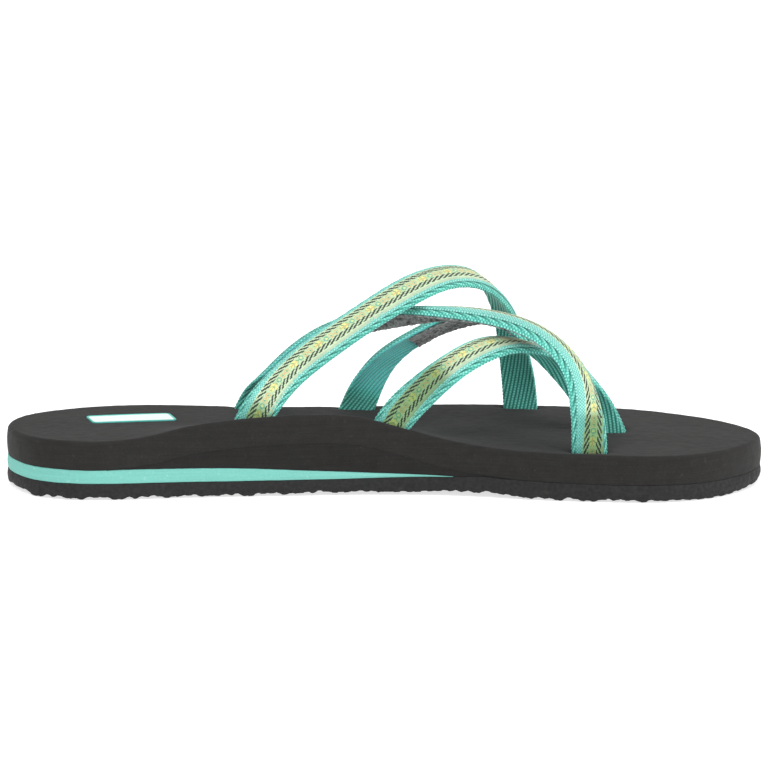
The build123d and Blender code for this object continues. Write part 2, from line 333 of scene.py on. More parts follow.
def grid_faces(rows, columns):
    """Quads of a grid whose columns close on themselves, with an end cap at each end."""
    i, j = np.meshgrid(np.arange(rows - 1), np.arange(columns), indexing="ij")
    following = (j + 1) % columns
    quads = np.stack([i * columns + j, (i + 1) * columns + j, (i + 1) * columns + following,
                      i * columns + following], axis=-1).reshape(-1, 4)
    caps = [list(range(columns)), list(range((rows - 1) * columns, rows * columns))]
    return quads.tolist() + caps


def tidy_mesh(mesh, weld):
    """Welds points that coincide, and turns every face outwards."""
    edit = bmesh.new()
    edit.from_mesh(mesh)
    if weld:
        bmesh.ops.remove_doubles(edit, verts=edit.verts, dist=1e-7)
        bmesh.ops.dissolve_degenerate(edit, edges=edit.edges, dist=1e-8)
    bmesh.ops.recalc_face_normals(edit, faces=edit.faces)
    edit.to_mesh(mesh)
    edit.free()


def add_tint(mesh, colours):
    """A colour for each point, which the material reads as tint."""
    attribute = mesh.color_attributes.new("tint", "FLOAT_COLOR", "POINT")
    rgba = np.ones((len(mesh.vertices), 4), np.float32)
    rgba[:, :3] = colours
    attribute.data.foreach_set("color", rgba.ravel())


def add_object(name, data):
    """A new object in the scene."""
    made = bpy.data.objects.new(name, data)
    bpy.context.scene.collection.objects.link(made)
    return made


def shade(mesh, sharp):
    """Smooth shading, with edges that turn by more than an angle in degrees kept sharp."""
    mesh.shade_smooth()
    mesh.set_sharp_from_angle(angle=math.radians(sharp))


def make_piece(name, points, faces, tints=None, weld=False, sharp=SHARP_ANGLE):
    """A mesh object from points in millimetres."""
    mesh = bpy.data.meshes.new(name)
    mesh.from_pydata((points.reshape(-1, 3) * MM).tolist(), [], faces)
    if tints is not None:
        add_tint(mesh, tints.reshape(-1, 3))
    tidy_mesh(mesh, weld)
    shade(mesh, sharp)
    return add_object(name, mesh)


def swept_piece(name, points, tints=None, weld=False, sharp=SHARP_ANGLE):
    """A closed solid from rows of section points, capped at both ends."""
    return make_piece(name, points, grid_faces(*points.shape[:2]), tints, weld, sharp)


def finish_piece(piece, material, slot, *nodes):
    """Gives a piece its material and body, and hides the parts that it stands for; its slot is not
    used.
    """
    piece.data.materials.clear()
    piece.data.materials.append(material)
    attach(piece, "root")
    if nodes:
        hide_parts(*nodes)


# ---- Sole surfaces ----

def top_height(x, y):
    """Height of the footbed's upper face."""
    depth = np.maximum(0, y - read(INNER_SIDE, x))
    share = 0.5 + 0.5 * np.cos(np.pi * np.minimum(1, depth / ARCH_REACH) ** 0.85)
    return along_x(BASE_HEIGHT, x) + along_x(ARCH_RISE, x) * share


def slot_places():
    """The middle of each strap's slot in the footbed's face."""
    return [strap["stations"][i][:2] for strap in STRAPS.values() for i in (0, -1)]


def footbed_top(x, y):
    """The footbed's face as worn: a slight hollow at each slot and gentle waves."""
    height = top_height(x, y)
    for slot_x, slot_y in slot_places():
        reach = np.hypot(np.maximum(np.abs(x - slot_x) - DIP_HALF, 0), y - slot_y)
        height = height - DIP_DEPTH * np.exp(-(reach / DIP_REACH) ** 2)
    return height + WAVE_HEIGHT * np.sin(x / 11.0 + 0.4 * np.sin(y / 9.0)) * np.cos(y / 8.0)


def footbed_bottom(x, y):
    return top_height(x, y) - FOOTBED_THICKNESS


def wedge_top(x, y):
    return np.minimum(along_x(WEDGE_TOP, x), footbed_bottom(x, y))


def outsole_top(x, y):
    """Thin under the heel and waist, and up to the footbed in the forefoot."""
    return np.minimum(read(OUTSOLE_TOP, x), footbed_bottom(x, y))


def insert_bottom(x, y):
    return np.where(x < WEDGE_TIP_X, along_x(WEDGE_TOP, x), outsole_top(x, y))


def edge_distance(x, y):
    """Roughly how far a place lies in from the nearer side of the sole."""
    return np.minimum(y - read(INNER_SIDE, x), read(OUTER_SIDE[::-1], x) - y)


def edge_scallop(x, y):
    """The tread's uneven lower edge, where lugs of different widths end at the sides."""
    wave = np.sin(x / 1.1 + 2.2 * np.sin(x / 4.3)) + np.sin(x / 2.3 + 1.3 * np.sin(x / 9.0) + y / 30)
    middle, half = SCALLOP_GAP
    rough = smooth_step((SCALLOP_TOE_X - x) / 24) * (1 - 0.9 * np.exp(-((x - middle) / half) ** 4))
    near = smooth_step(1 - edge_distance(x, y) / SCALLOP_REACH)
    return SCALLOP_DEPTH * smooth_step(0.5 + 0.3 * wave) * near * rough


def cut_profile(distance, width, depth):
    """Depth of a groove with soft edges, at a distance from its middle."""
    return depth * smooth_step((width / 2 - distance) / 0.45 + 0.5)


def outsole_bottom(x, y):
    """The ground face, with its lifts, wavy grooves and the shallow cuts between them."""
    swing = WAVE_SWING * np.cos(2 * np.pi * y / WAVE_LENGTH)
    phase = (x - swing - GROOVE_START_X) / GROOVE_PITCH
    groove = np.abs(phase - np.round(phase)) * GROOVE_PITCH
    sipe = np.abs(phase - 0.5 - np.round(phase - 0.5)) * GROOVE_PITCH
    cuts = np.maximum(cut_profile(groove, GROOVE_WIDTH, GROOVE_DEPTH),
                      cut_profile(sipe, SIPE_WIDTH, SIPE_DEPTH))
    within = smooth_step(edge_distance(x, y) / 3.0 - 0.3)
    return along_x(GROUND_LIFT, x) + np.maximum(cuts * within, edge_scallop(x, y) + 0.3 * cuts)


# ---- Sole layers ----

def sole_sides():
    """The inner and outer side of the outline, heel to toe, each as points and outward directions."""
    points = np.array(INNER_SIDE + [TOE_TIP] + OUTER_SIDE, float)
    loop = np.vstack([points[-4:], points, points[:5]])
    knots = chord_lengths(loop)
    s = np.linspace(knots[4], knots[4 + len(points)], 6001)[:-1]
    curve = cubic_through(knots, loop)
    plan, ahead = curve(s), curve(s, 1)
    out = unit(np.stack([ahead[:, 1], -ahead[:, 0]], axis=1))
    heel = int(np.argmin(plan[:, 0]))
    plan, out = np.roll(plan, -heel, axis=0), np.roll(out, -heel, axis=0)
    toe = int(np.argmax(plan[:, 0]))
    around = np.arange(toe, len(plan) + 1) % len(plan)
    return (plan[:toe + 1], out[:toe + 1]), (plan[around[::-1]], out[around[::-1]])


def side_stations(side, start_x, end_x, count):
    """Evenly spaced points and outward directions along one side between two places in X."""
    plan, out = side
    distance = chord_lengths(plan)
    xs = np.maximum.accumulate(plan[:, 0])
    s = np.linspace(*np.interp([start_x, end_x], xs, distance), count)
    columns = [np.interp(s, distance, column) for column in (*plan.T, *out.T)]
    return np.stack(columns[:2], axis=1), np.stack(columns[2:], axis=1)


def wall_rows(edge, out, upper, lower, radii, bulge):
    """Rows of points down one side of a layer, rounded at the top and the bottom."""
    top_z, low_z = upper(*edge.T), lower(*edge.T)
    room = 0.45 * np.maximum(top_z - low_z, 0.02)
    top_r, low_r = np.minimum(radii[0], room), np.minimum(radii[1], room)
    top_z = upper(*(edge - out * top_r[:, None]).T)
    low_z = np.minimum(lower(*(edge - out * low_r[:, None]).T), top_z - 0.01)
    rows = []

    def add(inset, height):
        rows.append(np.column_stack([edge - out * inset[:, None], height]))

    for angle in np.linspace(0, np.pi / 2, 6):
        add(top_r * (1 - np.sin(angle)), top_z - top_r * (1 - np.cos(angle)))
    for f in np.linspace(0, 1, WALL_ROWS + 2)[1:-1]:
        height = (top_z - top_r) * (1 - f) + (low_z + low_r) * f
        add(-bulge * np.sin(np.pi * f) * np.ones_like(top_z), height)
    for angle in np.linspace(np.pi / 2, 0, 5):
        add(low_r * (1 - np.sin(angle)), low_z + low_r * (1 - np.cos(angle)))
    return rows


def span_rows(start, end, height, count):
    """Rows of points across a layer's upper or lower face, between its two sides."""
    rows = []
    for f in np.linspace(0, 1, count + 2)[1:-1]:
        plan = start[:, :2] * (1 - f) + end[:, :2] * f
        rows.append(np.column_stack([plan, height(*plan.T)]))
    return rows


def closed_sections(near, far, upper, lower, across):
    """Whole sections from the rows down both sides, with rows across both faces."""
    top = span_rows(far[0], near[0], upper, across[0])
    bottom = span_rows(near[-1], far[-1], lower, across[1])
    return np.stack(near + bottom + far[::-1] + top, axis=1)


def layer_points(sides, x_range, upper, lower, count, radii, bulge, across):
    """Closed sections of one sole layer, from its heel end to its toe end."""
    (inner, inner_out), (outer, outer_out) = (side_stations(side, *x_range, count) for side in sides)
    near = wall_rows(inner, inner_out, upper, lower, radii, bulge)
    far = wall_rows(outer, outer_out, upper, lower, radii, bulge)
    return closed_sections(near, far, upper, lower, across)


def insert_points(sides):
    """Sections of the arch insert, each ending where it has thinned to nothing."""
    (inner, inner_out), (outer, outer_out) = (side_stations(side, *INSERT_RANGE, 200) for side in sides)
    shares = np.linspace(0, 1, 80)
    plan = inner[:, None] * (1 - shares[:, None]) + outer[:, None] * shares[:, None]
    thick = footbed_bottom(plan[..., 0], plan[..., 1]) - insert_bottom(plan[..., 0], plan[..., 1])
    thin = thick < 0.06
    reach = np.where(thin.any(axis=1), shares[thin.argmax(axis=1)], 1.0)
    reach = np.convolve(np.pad(reach, 3, mode="edge"), np.ones(7) / 7, mode="valid")
    reach = np.maximum(reach, 0.05)[:, None]
    far_edge = inner * (1 - reach) + outer * reach
    near = wall_rows(inner, inner_out, footbed_bottom, insert_bottom, (0.15, 0.25), 0.15)
    far = wall_rows(far_edge, outer_out, footbed_bottom, insert_bottom, (0.3, 0.3), 0.0)
    return closed_sections(near, far, footbed_bottom, insert_bottom, (40, 40))


def roughen(points, amount, grain):
    """Moves points a little off a moulded surface, as foam has."""
    shift = np.stack([noise_at(points + 31.0 * k, grain) for k in range(3)], axis=-1)
    return points + amount * shift


def make_layer(name, points, cutter, material, slot):
    """One sole layer, with the straps' slots cut through it."""
    piece = swept_piece(name, roughen(points, *ROUGH[name]), weld=True)
    cut(piece, cutter, "MANIFOLD")
    shade(piece.data, SHARP_ANGLE)
    finish_piece(piece, material, slot, name)


def apply_modifiers(piece):
    """Makes what the modifiers show the piece's own mesh."""
    graph = bpy.context.evaluated_depsgraph_get()
    made = bpy.data.meshes.new_from_object(piece.evaluated_get(graph))
    piece.modifiers.clear()
    piece.data = made


def cut(piece, cutter, solver, operation="DIFFERENCE"):
    """Cuts one mesh with another, or joins them."""
    modifier = piece.modifiers.new("cut", "BOOLEAN")
    modifier.operation = operation
    modifier.solver = solver
    modifier.object = cutter
    apply_modifiers(piece)


# ---- Strap paths ----

class StrapPath:
    """The middle line of a strap, with the webbing's width and outward directions along it."""

    def __init__(self, strap):
        stations, tails = strap["stations"], strap["tails"]
        ends = zip((stations[0], stations[-1]), tails)
        first, last = ((slot[0] + tail[0], slot[1] + tail[1], tail[2], 0) for slot, tail in ends)
        rows = np.array([first, *stations, last], float)
        self.tails = [tail[2:] for tail in tails]
        self.crown = strap["crown"]
        self.pattern = strap["pattern"]
        self.knots = chord_lengths(rows[:, :3])
        self.at = cubic_through(self.knots, rows)
        self.surface = (self.knots[1], self.knots[-2])

    def sample(self, s):
        """Centre, direction and width direction at distances along."""
        s = np.atleast_1d(np.asarray(s, float))
        rows = self.at(s)
        along = unit(self.at(s, 1)[:, :3])
        across = unit(np.array([1.0, 0, 0]) - along[:, :1] * along)
        lean = np.radians(rows[:, 3:4])
        across = across * np.cos(lean) + np.cross(along, across) * np.sin(lean)
        return rows[:, :3], along, across

    def folded_end(self, which, step):
        """The same three for a folded end, from its tip to where the webbing turns upright."""
        height, inward = self.tails[which]
        x, y = self.at(self.knots[[0 if which == 0 else -1]])[0, :2]
        flat = np.arange(TAIL_LENGTH - 1, FOLD_RADIUS, -step)
        angles = np.linspace(0, np.pi / 2, 9)
        reach = np.concatenate([flat, FOLD_RADIUS * (1 - np.sin(angles))])
        rise = np.concatenate([flat * 0, FOLD_RADIUS * (1 - np.cos(angles))])
        turn = np.concatenate([flat * 0, angles])
        centre = np.column_stack([x + reach * 0, y + inward * reach, height + rise])
        along = np.column_stack([turn * 0, -inward * np.cos(turn), np.sin(turn)])
        across = np.tile([1.0, 0, 0], (len(turn), 1))
        if which == 1:
            return centre[::-1], -along[::-1], across
        return centre, along, across

    def whole(self, step):
        """Distance along, centre, width and outward directions of the whole webbing, tip to tip."""
        low, high = self.knots[0] + FOLD_RADIUS + step, self.knots[-1] - FOLD_RADIUS - step
        s = np.linspace(low, high, int((high - low) / step))
        parts = [self.folded_end(0, step), self.sample(s), self.folded_end(1, step)]
        places = [np.full(len(parts[0][0]), low), s, np.full(len(parts[2][0]), high)]
        centre, along, across = (np.vstack(column) for column in zip(*parts))
        return np.concatenate(places), centre, across, np.cross(across, along)

    def stretch(self, start, end, step):
        """The same four for a stretch of the path."""
        s = np.linspace(start, end, max(2, int((end - start) / step)))
        centre, along, across = self.sample(s)
        return s, centre, across, np.cross(across, along)


def lit_share(outward):
    """How far each direction turns to the lit side, 0 to 1."""
    return smooth_step((outward @ LIT_SIDE - 0.30) / 0.18)[:, None]


def crown_at(path, s):
    """How far the webbing's edges curl in at distances along the path."""
    low, high = path.surface
    fade = smooth_step((s - low - 2) / CROWN_FADE) * smooth_step((high - 2 - s) / CROWN_FADE)
    return path.crown * fade


def sweep(centre, across, outward, wide, out, crown=0.0):
    """Section points from their offsets across and outwards, on a crowned strap."""
    drop = np.reshape(crown, (-1, 1)) * (wide / (WEBBING_WIDTH / 2)) ** 2
    return (centre[:, None] + across[:, None] * wide[..., None]
            + outward[:, None] * (out - drop)[..., None])


# ---- Webbing ----

def webbing_section():
    """The webbing's plain section: offsets, outward directions, and the angle round its edges."""
    half, thick = WEBBING_WIDTH / 2, WEBBING_THICKNESS / 2 - WEAVE_RELIEF / 2
    face = np.linspace(-half + EDGE_WIDTH, half - EDGE_WIDTH, 44)
    flat = face * 0
    angles = np.linspace(np.pi / 2, -np.pi / 2, 12)[1:-1]
    swell = half - EDGE_WIDTH + EDGE_WIDTH * np.cos(angles)
    outer = ((face, swell), (flat + thick, thick * np.sin(angles)), (flat, np.cos(angles)),
             (flat + 1, np.sin(angles)))
    rows = [np.concatenate([*row, *(-part for part in row)]) for row in outer]
    return *rows, np.concatenate([flat, angles, flat, angles + np.pi])


def rib_height(s, wide):
    """The webbing's slanted ribs with their cross threads, 0 in the grooves to 1 on top."""
    across = (wide * math.cos(RIB_SLANT) + s * math.sin(RIB_SLANT)) / RIB_PITCH
    rib = 0.5 + 0.5 * np.cos(2 * np.pi * across)
    along = (s * math.cos(RIB_SLANT) - wide * math.sin(RIB_SLANT)) / PICK_PITCH
    pick = 0.5 + 0.5 * np.cos(2 * np.pi * (along + 0.5 * np.round(across)))
    return rib ** 0.7 * (0.55 + 0.45 * pick)


def selvedge_height(s, around):
    """The loops of weft along the webbing's edges, in three staggered rows, 0 to 1."""
    place = 3 * (around / np.pi + 0.5)
    row = np.floor(np.clip(place, 0, 5.99))
    loop = 0.5 + 0.5 * np.cos(2 * np.pi * s / SELVEDGE_PITCH + np.pi * row + 0.9 * around)
    return loop * (0.35 + 0.65 * np.abs(np.sin(np.pi * place)))


def make_webbing(name, path, material):
    """One strap's webbing with both folded ends."""
    places, centre, across, outward = path.whole(WEBBING_STEP)
    s = chord_lengths(centre)[:, None]
    wide, out, turn_wide, turn_out, around = (row[None, :] for row in webbing_section())
    edge = np.abs(turn_wide)
    ribs = rib_height(s, -wide * np.sign(turn_out + 1e-9))
    loops = selvedge_height(s, around)
    lift = WEAVE_RELIEF * (ribs - 0.5) * (1 - edge) + SELVEDGE_RELIEF * (loops - 0.7) * edge
    wander = WANDER * np.sin(s / 9.0) * np.cos(s / 23.0)
    points = sweep(centre, across, outward, wide + turn_wide * lift + wander, out + turn_out * lift,
                   crown_at(path, places))
    light = ribs * (1 - edge) + loops * edge
    # Painted light: lighter on edges that face the lit side and on inner faces turned to the toe, a
    # little darker on the outer face.
    facing = lit_share(outward) * edge
    inside = smooth_step((-outward[:, :1] - 0.1) / 0.3) * (turn_out < 0)
    painted_light = PLAIN_GLOW + LIT_PAINTED_LIGHT * facing + INNER_PAINTED_LIGHT * inside + OUTER_GAIN * (turn_out > 0)
    # Painted shade in the grooves between the threads, painted light on their tops, and the selvedge a
    # little lighter.
    tone = GROOVE_PAINTED_SHADE + THREAD_PAINTED_LIGHT * light + 0.08 * edge
    # A painted highlight on the threads' tops, stronger on edges that face the lit side.
    painted_highlight = (PAINTED_HIGHLIGHT + LIT_PAINTED_HIGHLIGHT * facing) * light ** 3
    tints = TURQUOISE * (tone * painted_light)[..., None] + painted_highlight[..., None]
    piece = swept_piece(name, points, np.minimum(tints, BRIGHTEST), sharp=180)
    finish_piece(piece, material, "webbing", name)


# ---- Woven ribbon ----

def paint(colour, mask, value):
    """Lays a colour over another where the mask is 1."""
    return colour * (1 - mask[..., None]) + value * mask[..., None]


def motif(along, v):
    """The middle column: a leaf, then three small rings, in one repeat."""
    colour = np.broadcast_to(PALE_GREEN, (*v.shape, 3)).copy()
    t = along % MOTIF_LENGTH
    leaf = np.abs(t - LEAF_HALF) / LEAF_HALF
    leaf_mask = (np.abs(v) < 1.35 * (1 - leaf ** 1.6)) & (leaf < 1)
    colour = paint(colour, leaf_mask, YELLOW)
    chevron = leaf_mask & (np.abs((t + 0.9 * np.abs(v)) % 1.6 - 0.8) < 0.2)
    colour = paint(colour, chevron, MID_GREEN)
    vein = (np.abs(v) < 0.18) & (leaf < 0.7)
    colour = paint(colour, vein, PEACH)
    for k, centre in enumerate(RING_PLACES):
        distance = np.hypot((t - centre) * 1.05, v)
        ring = (distance > 0.6) & (distance < 0.98)
        colour = paint(colour, ring, PEACH if k else MID_GREEN * 0.6 + SATIN * 0.4)
        colour = paint(colour, distance < 0.32, MID_GREEN if k else YELLOW)
    return colour


def ribbon_colour(along, wide, middle, facing):
    """The ribbon's pattern at thread centres: borders, slanted dashes and a middle column, with painted
    shade where it turns from the lit side.
    """
    v = wide - middle
    beside = np.abs(v)
    checks = (np.floor(along / THREAD_ALONG / 2) + np.floor(wide / THREAD_ACROSS / 2)) % 2 == 0
    colour = np.where(checks[..., None], BORDER_LIGHT, BORDER_DARK)
    threads = (np.round(along / THREAD_ALONG) + np.round(wide / THREAD_ACROSS)) % 2 == 0
    strip = (v > PIPING_HALF) & (v < STIPPLE_HALF)
    colour = paint(colour, strip & threads, STONE)
    pattern = beside < PIPING_HALF
    colour = paint(colour, pattern, PIPING)
    colour = np.where((beside < DASH_INNER)[..., None], motif(along, v), colour)
    slant = (along + DASH_SLANT * (beside - DASH_INNER)) / DASH_PITCH
    dash = np.abs(slant - np.round(slant)) < 0.30
    dash = dash & (beside > DASH_INNER) & (beside < DASH_OUTER)
    colour = paint(colour, dash, DARK_GREEN)
    # Painted shade: darker colours where the ribbon doesn't face the lit side.
    painted_shade = np.where((pattern | strip)[..., None], PATTERN_PAINTED_SHADE, BORDER_PAINTED_SHADE)
    return colour * (painted_shade + (1 - painted_shade) * facing[..., None])


def ribbon_section():
    """The ribbon's plain section: its outer face, then its edges and its back."""
    half, thick = RIBBON_WIDTH / 2, RIBBON_THICKNESS / 2
    face = np.linspace(-half + 0.06, half - 0.06, 60)
    back = np.linspace(half - 0.06, -half + 0.06, 9)
    wide = np.concatenate([face, [half], back, [-half]])
    out = np.concatenate([face * 0 + thick, [0], back * 0 - thick, [0]])
    on_face = np.concatenate([face * 0 + 1, [0], back * 0, [0]])
    return wide, out, on_face


def thread_height(s, wide):
    """Small floats of thread, one in each cell of the weave, 0 to 1."""
    row = np.floor(s / THREAD_ALONG)
    across = wide / THREAD_ACROSS + 0.5 * (row % 2)
    return np.abs(np.sin(np.pi * s / THREAD_ALONG)) * np.abs(np.sin(np.pi * across))


def make_ribbon(name, path, material):
    """The patterned ribbon sewn along the outside of one strap."""
    low, high = path.surface
    s, centre, across, outward = path.stretch(low - TRIM_BELOW, high + TRIM_BELOW, RIBBON_STEP)
    wide, out, on_face = (row[None, :] for row in ribbon_section())
    s = s[:, None]
    offset = WEBBING_THICKNESS / 2 + RIBBON_GAP + RIBBON_THICKNESS / 2
    bead = 0.13 * np.exp(-((np.abs(wide) - RIBBON_WIDTH / 2 + 0.35) / 0.22) ** 2)
    threads = thread_height(s, wide)
    lift = on_face * (THREAD_RELIEF * (threads - 0.5) + bead)
    points = sweep(centre, across, outward, wide + 0 * s, out + offset + lift, crown_at(path, s))
    cell_s = (np.floor(s / THREAD_ALONG) + 0.5) * THREAD_ALONG
    cell_w = (np.floor(wide / THREAD_ACROSS) + 0.5) * THREAD_ACROSS
    middle = read(path.pattern, (s - low) / (high - low))
    tints = ribbon_colour(cell_s + 0 * wide, cell_w + 0 * s, middle, lit_share(outward))
    # Painted shade between the thread floats, lighter on their tops.
    tints = tints * (0.78 + 0.3 * threads)[..., None]
    piece = swept_piece(name, points, tints, sharp=60)
    finish_piece(piece, material, "ribbon", name)


def make_stitching(name, path, material):
    """Two rows of stitches that hold the ribbon to the webbing."""
    low, high = path.surface
    rings = np.linspace(0, 1, 7)
    angles = np.linspace(0, 2 * np.pi, STITCH_SIDES, endpoint=False)
    side = RIBBON_WIDTH / 2 - STITCH_INSET
    points, faces = [], []
    offset = WEBBING_THICKNESS / 2 + RIBBON_GAP + RIBBON_THICKNESS + 0.10
    for wide in (-side, side):
        for start in np.arange(low + 1, high - STITCH_LENGTH - 0.5, STITCH_PITCH):
            places = start + rings * STITCH_LENGTH
            centre, along, across = path.sample(places)
            outward = np.cross(across, along)
            sag = 0.16 * (2 * rings - 1) ** 4
            radius = STITCH_RADIUS * (1 - 0.75 * (2 * rings - 1) ** 8)
            drop = crown_at(path, places) * (2 * wide / WEBBING_WIDTH) ** 2
            ring = (centre + across * wide + outward * (offset - sag - drop)[:, None])[:, None]
            ring = ring + radius[:, None, None] * (np.cos(angles)[:, None] * across[:, None]
                                                   + np.sin(angles)[:, None] * outward[:, None])
            base = len(points) * len(rings) * STITCH_SIDES
            faces += [[base + k for k in face] for face in grid_faces(len(rings), STITCH_SIDES)]
            points.append(ring)
    piece = make_piece(name, np.array(points), faces, sharp=60)
    finish_piece(piece, material, "ribbon")


def make_lining(name, path, stretch, material):
    """The soft grey strip under the middle of a strap."""
    low = path.surface[0]
    s, centre, across, outward = path.stretch(low + stretch[0], low + stretch[1], 0.25)
    half, thick = LINING_WIDTH / 2, LINING_THICKNESS / 2
    face = np.linspace(-half + 0.25, half - 0.25, 44)
    wide = np.concatenate([face, [half - 0.07, half, half - 0.07]])
    out = np.concatenate([face * 0 + thick, [0.7 * thick, 0, -0.7 * thick]])
    wide, out = (np.concatenate([row, -row]) + 0 * s[:, None] for row in (wide, out))
    offset = -WEBBING_THICKNESS / 2 - LINING_GAP - LINING_THICKNESS / 2
    points = sweep(centre, across, outward, wide, out + offset, crown_at(path, s))
    fibres = noise_at(points, 1.1) + 0.8 * noise_at(points + 50, 0.5)
    sideways = np.sign(wide) * (np.abs(wide) > half - 0.1)
    away = across[:, None] * sideways[..., None] - outward[:, None] * (out < 0)[..., None]
    points = points + away * (LINING_FUZZ * fibres)[..., None]
    tints = GREY_LINING * (0.80 + 0.95 * np.clip(fibres, -0.7, 0.9))[..., None]
    piece = swept_piece(name, points, tints, sharp=180)
    finish_piece(piece, material, "lining", name)


# ---- Label ----

def rounded_box(a, b, radius, steps):
    """A box's outline with round corners, whose centres lie a and b from its middle."""
    places = []
    for k, (sx, sy) in enumerate(SQUARE):
        for angle in np.linspace(0, np.pi / 2, steps) + k * np.pi / 2:
            places.append((sx * a + radius * math.cos(angle), sy * b + radius * math.sin(angle)))
    return np.array(places)


def rounded_outline(count, inset):
    """The label's outline, drawn in by an inset, in its own place and turn."""
    shrink = LABEL_CORNER + max(inset - LABEL_CORNER + 0.3, 0)
    a, b = LABEL_SIZE[0] / 2 - shrink, LABEL_SIZE[1] / 2 - shrink
    places = rounded_box(a, b, max(LABEL_CORNER - inset, 0.3), 12)
    places = np.vstack([places, places[:1]])
    distance = chord_lengths(places)
    s = np.linspace(0, distance[-1], count, endpoint=False)
    u, v = (np.interp(s, distance, column) for column in places.T)
    cos, sin = math.cos(LABEL_TURN), math.sin(LABEL_TURN)
    return np.column_stack([LABEL_CENTRE[0] + u * cos - v * sin, LABEL_CENTRE[1] + u * sin + v * cos])


def label_rows():
    """Rings of the label from under its middle, round its edge, to the middle of its face."""
    rows = []
    for inset, rise in LABEL_UNDER + LABEL_FACE:
        plan = rounded_outline(180, inset)
        top = top_height(*plan.T) + LABEL_PROUD
        height = LABEL_BOTTOM + (top - LABEL_BOTTOM) * rise
        rows.append(np.column_stack([plan, height + LABEL_LIFT * (rise == 0)]))
    return np.stack(rows)


def make_label(material):
    """The blank heel label: a raised turquoise border round a paler field."""
    points = label_rows()
    tints = np.broadcast_to(LABEL_PALE, points.shape).copy()
    tints[LABEL_RIM] = LABEL_TURQUOISE
    piece = swept_piece("heel_label", points, tints, sharp=50)
    finish_piece(piece, material, "label", "heel_label")


# ---- Cutters ----

def slot_cutter(path, which):
    """The room that one end of a strap needs through the sole."""
    low, high = path.surface
    first = (path.knots[0] - SLOT_DOWN, low + SLOT_UP)
    last = (high - SLOT_UP, path.knots[-1] + SLOT_DOWN)
    centre, across, outward = path.stretch(*(last if which else first), 1.5)[1:]
    half = WEBBING_WIDTH / 2 + SLOT_PLAY
    inner = -WEBBING_THICKNESS / 2 - SLOT_PLAY
    outer = WEBBING_THICKNESS / 2 + RIBBON_GAP + RIBBON_THICKNESS + SLOT_PLAY
    a, b = half - SLOT_CORNER, (outer - inner) / 2 - SLOT_CORNER
    wide, out = rounded_box(a, b, SLOT_CORNER, 5).T[:, None]
    points = sweep(centre, across, outward, wide, out + (outer + inner) / 2)
    return swept_piece(f"slot_cutter_{which}", points)


def pocket_cutter(path, which):
    """The pocket for a folded end under the footbed."""
    height, inward = path.tails[which]
    x, y = path.at(path.knots[[0 if which == 0 else -1]])[0, :2]
    half = np.array([WEBBING_WIDTH / 2 + SLOT_PLAY, TAIL_LENGTH / 2 + SLOT_PLAY,
                     WEBBING_THICKNESS / 2 + SLOT_PLAY])
    middle = np.array([x, y + inward * (TAIL_LENGTH / 2 - 1), height])
    points = np.array([[(end, *corner) for corner in SQUARE] for end in (-1, 1)]) * half + middle
    return swept_piece(f"pocket_cutter_{which}", points)


def recess_cutter():
    """The label's recess, open upwards."""
    rows = []
    for height in (LABEL_BOTTOM, LABEL_BOTTOM + 4):
        plan = rounded_outline(90, 0.0)
        middle = plan.mean(axis=0)
        rows.append(np.column_stack([middle + (plan - middle) * 1.008, np.full(90, height)]))
    return swept_piece("recess_cutter", np.stack(rows))


def make_cutter(paths):
    """Every slot, pocket and recess joined into one cutting mesh."""
    joined = recess_cutter()
    for path in paths.values():
        for which in (0, 1):
            for part in (slot_cutter(path, which), pocket_cutter(path, which)):
                cut(joined, part, "EXACT", "UNION")
                bpy.data.objects.remove(part)
    tidy_mesh(joined.data, weld=True)
    return joined


# ---- Materials ----

